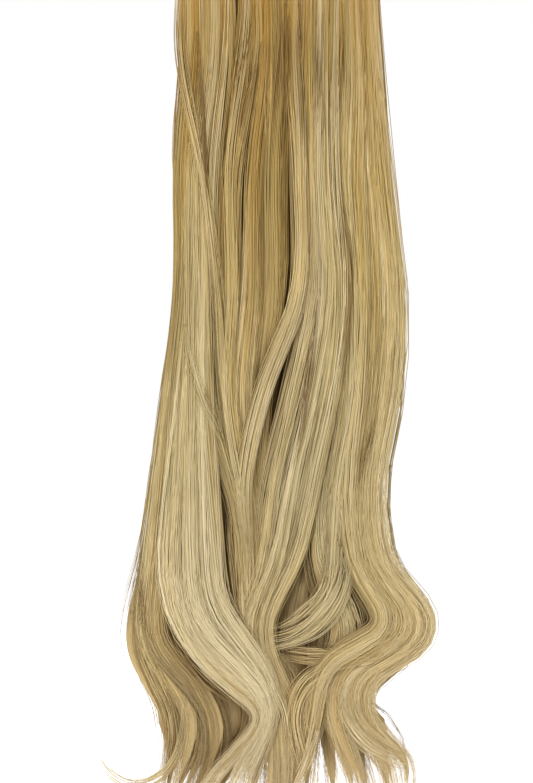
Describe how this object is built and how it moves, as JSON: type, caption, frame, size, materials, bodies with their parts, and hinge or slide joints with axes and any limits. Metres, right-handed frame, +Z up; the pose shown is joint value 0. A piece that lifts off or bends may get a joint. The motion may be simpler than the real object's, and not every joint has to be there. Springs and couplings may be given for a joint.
{
  "type": "clip-in hair extension",
  "caption": "Long, loosely curled blonde hair extension: layered rows of locks on sewn tracks, on a band with snap clips behind.",
  "frame": {"origin": "middle of the band's back face, where the wearer's own hair is gripped", "axes": "+Z up the hanging hair, -Y to the side that shows when worn, +Y to the wearer's head, +X to the viewer's right"},
  "size_m": [0.2504, 0.0585, 0.6302],
  "materials": {
    "band": "matte woven tape",
    "clip": "satin brown lacquer",
    "hair": "fine golden to ash blonde hair with a soft lengthwise gloss"
  },
  "bodies": {
    "root": {"weft_band": "band", "clip_left": "clip", "clip_centre": "clip", "clip_right": "clip", "hair_row_back": "hair", "hair_row_middle": "hair", "hair_row_front": "hair"}
  },
  "joints": []
}
